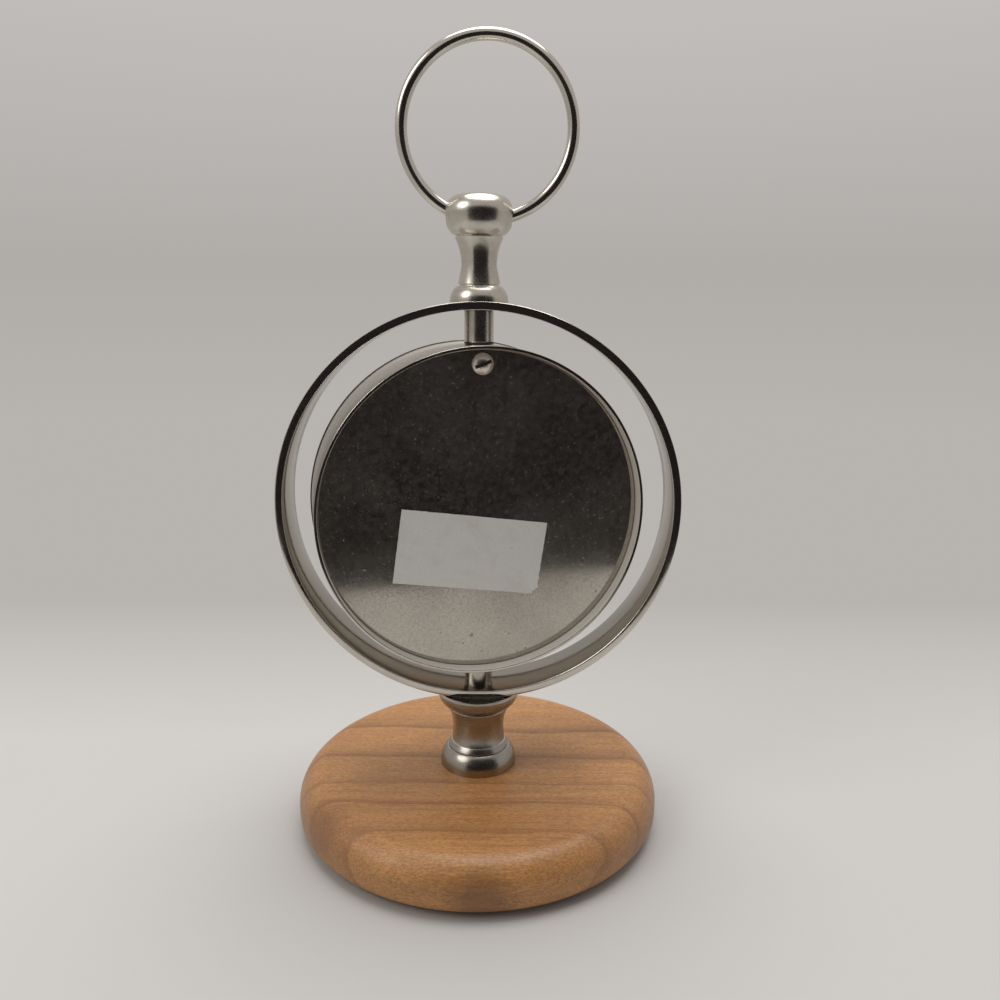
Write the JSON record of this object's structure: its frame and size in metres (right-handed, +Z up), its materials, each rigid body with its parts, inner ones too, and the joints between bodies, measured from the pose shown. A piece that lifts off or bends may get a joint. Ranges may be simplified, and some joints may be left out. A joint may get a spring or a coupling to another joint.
{
  "type": "moon phase desk clock",
  "caption": "Round desk clock with a moon phase dial; its drum swivels in a polished hoop on a turned pedestal and wooden base, with a finial and a carrying ring.",
  "frame": {"origin": "on the table under the middle of the base", "axes": "+Z up; the hoop's band is square to Y; the dial faces -Y, turned 12.4 degrees about Z, and the back cover faces +Y"},
  "size_m": [0.12, 0.115, 0.2345],
  "materials": {
    "nickel": "mirror-polished nickel plate, fine scratches",
    "turned_nickel": "polished nickel plate with faint lathe marks",
    "walnut": "satin lacquer over orange-brown straight grain",
    "felt": "black felt",
    "steel": "zinc-plated steel",
    "fibre": "red-brown vulcanised fibre",
    "paper": "bare white paper",
    "clear_glass": "clear flat mineral glass",
    "reflector": "bright satin",
    "dial_enamel": "cream enamel with plain printed numbers",
    "black_plastic": "moulded black plastic",
    "grey_plastic": "moulded grey acetal",
    "brass": "stamped brass",
    "cell_wrap": "plain dark sleeve",
    "copper": "enamelled copper wire",
    "board": "green circuit laminate",
    "moon_enamel": "dark blue enamel",
    "black_paint": "satin black"
  },
  "bodies": {
    "stand": {"felt_pad": "felt", "wood_base": "walnut", "base_bolt": "steel", "base_washer": "steel", "pedestal": "turned_nickel", "outer_hoop": "nickel", "lower_stud": "steel", "lower_spacer": "turned_nickel", "upper_stud": "steel", "top_post": "turned_nickel", "finial": "turned_nickel", "pivot_nuts": "steel", "fibre_washers": "fibre"},
    "bow": {"top_ring": "nickel"},
    "drum": {"drum_case": "nickel", "back_cover": "nickel", "cover_screw": "nickel", "cover_clip": "steel", "paper_label": "paper", "bezel": "nickel", "crystal": "clear_glass", "reflector_ring": "reflector", "dial": "dial_enamel", "movement_front": "black_plastic", "movement_back": "black_plastic", "shaft_nut": "brass", "battery": "cell_wrap", "battery_contacts": "steel", "motor_module": "grey_plastic", "motor_coil": "copper", "circuit_board": "board", "moon_plate": "brass", "moon_wheel_bush": "brass", "moon_disc_stud": "steel", "dial_feet": "steel"},
    "minute_work": {"minute_arbor": "grey_plastic", "minute_hand": "black_paint", "hand_nut": "brass"},
    "hour_work": {"hour_wheel": "grey_plastic", "hour_pinion": "brass", "hour_hand": "black_paint"},
    "transfer_work": {"minute_wheel": "grey_plastic", "set_knob": "black_plastic"},
    "three_day_work": {"moon_wheel": "brass"},
    "moon_work": {"moon_disc": "moon_enamel"}
  },
  "joints": [
    {"name": "drum_swivel", "type": "hinge", "parent": "stand", "child": "drum", "pos_m": [0, 0, 0.1013], "axis": [0, 0, 1], "continuous": true},
    {"name": "bow_swing", "type": "hinge", "parent": "stand", "child": "bow", "pos_m": [0, 0, 0.1868], "axis": [1, 0, 0], "range_deg": [-135, 135]},
    {"name": "minute_turn", "type": "hinge", "parent": "drum", "child": "minute_work", "pos_m": [0, 0, 0.1013], "axis": [0.2147, -0.9767, 0], "continuous": true},
    {"name": "hour_turn", "type": "hinge", "parent": "drum", "child": "hour_work", "pos_m": [0, 0, 0.1013], "axis": [0.2147, -0.9767, 0], "continuous": true},
    {"name": "transfer_turn", "type": "hinge", "parent": "drum", "child": "transfer_work", "pos_m": [-0.00663, -0.00146, 0.10809], "axis": [0.2147, -0.9767, 0], "continuous": true},
    {"name": "three_day_turn", "type": "hinge", "parent": "drum", "child": "three_day_work", "pos_m": [0.01572, 0.00346, 0.11248], "axis": [0.2147, -0.9767, 0], "continuous": true},
    {"name": "moon_turn", "type": "hinge", "parent": "drum", "child": "moon_work", "pos_m": [0, 0, 0.1218], "axis": [0.2147, -0.9767, 0], "continuous": true}
  ],
  "couplings": [
    {"joint": "hour_turn", "follows": "minute_turn", "ratio": 0.083333},
    {"joint": "transfer_turn", "follows": "minute_turn", "ratio": -0.33333},
    {"joint": "three_day_turn", "follows": "minute_turn", "ratio": -0.013889},
    {"joint": "moon_turn", "follows": "minute_turn", "ratio": 0.00070621}
  ]
}
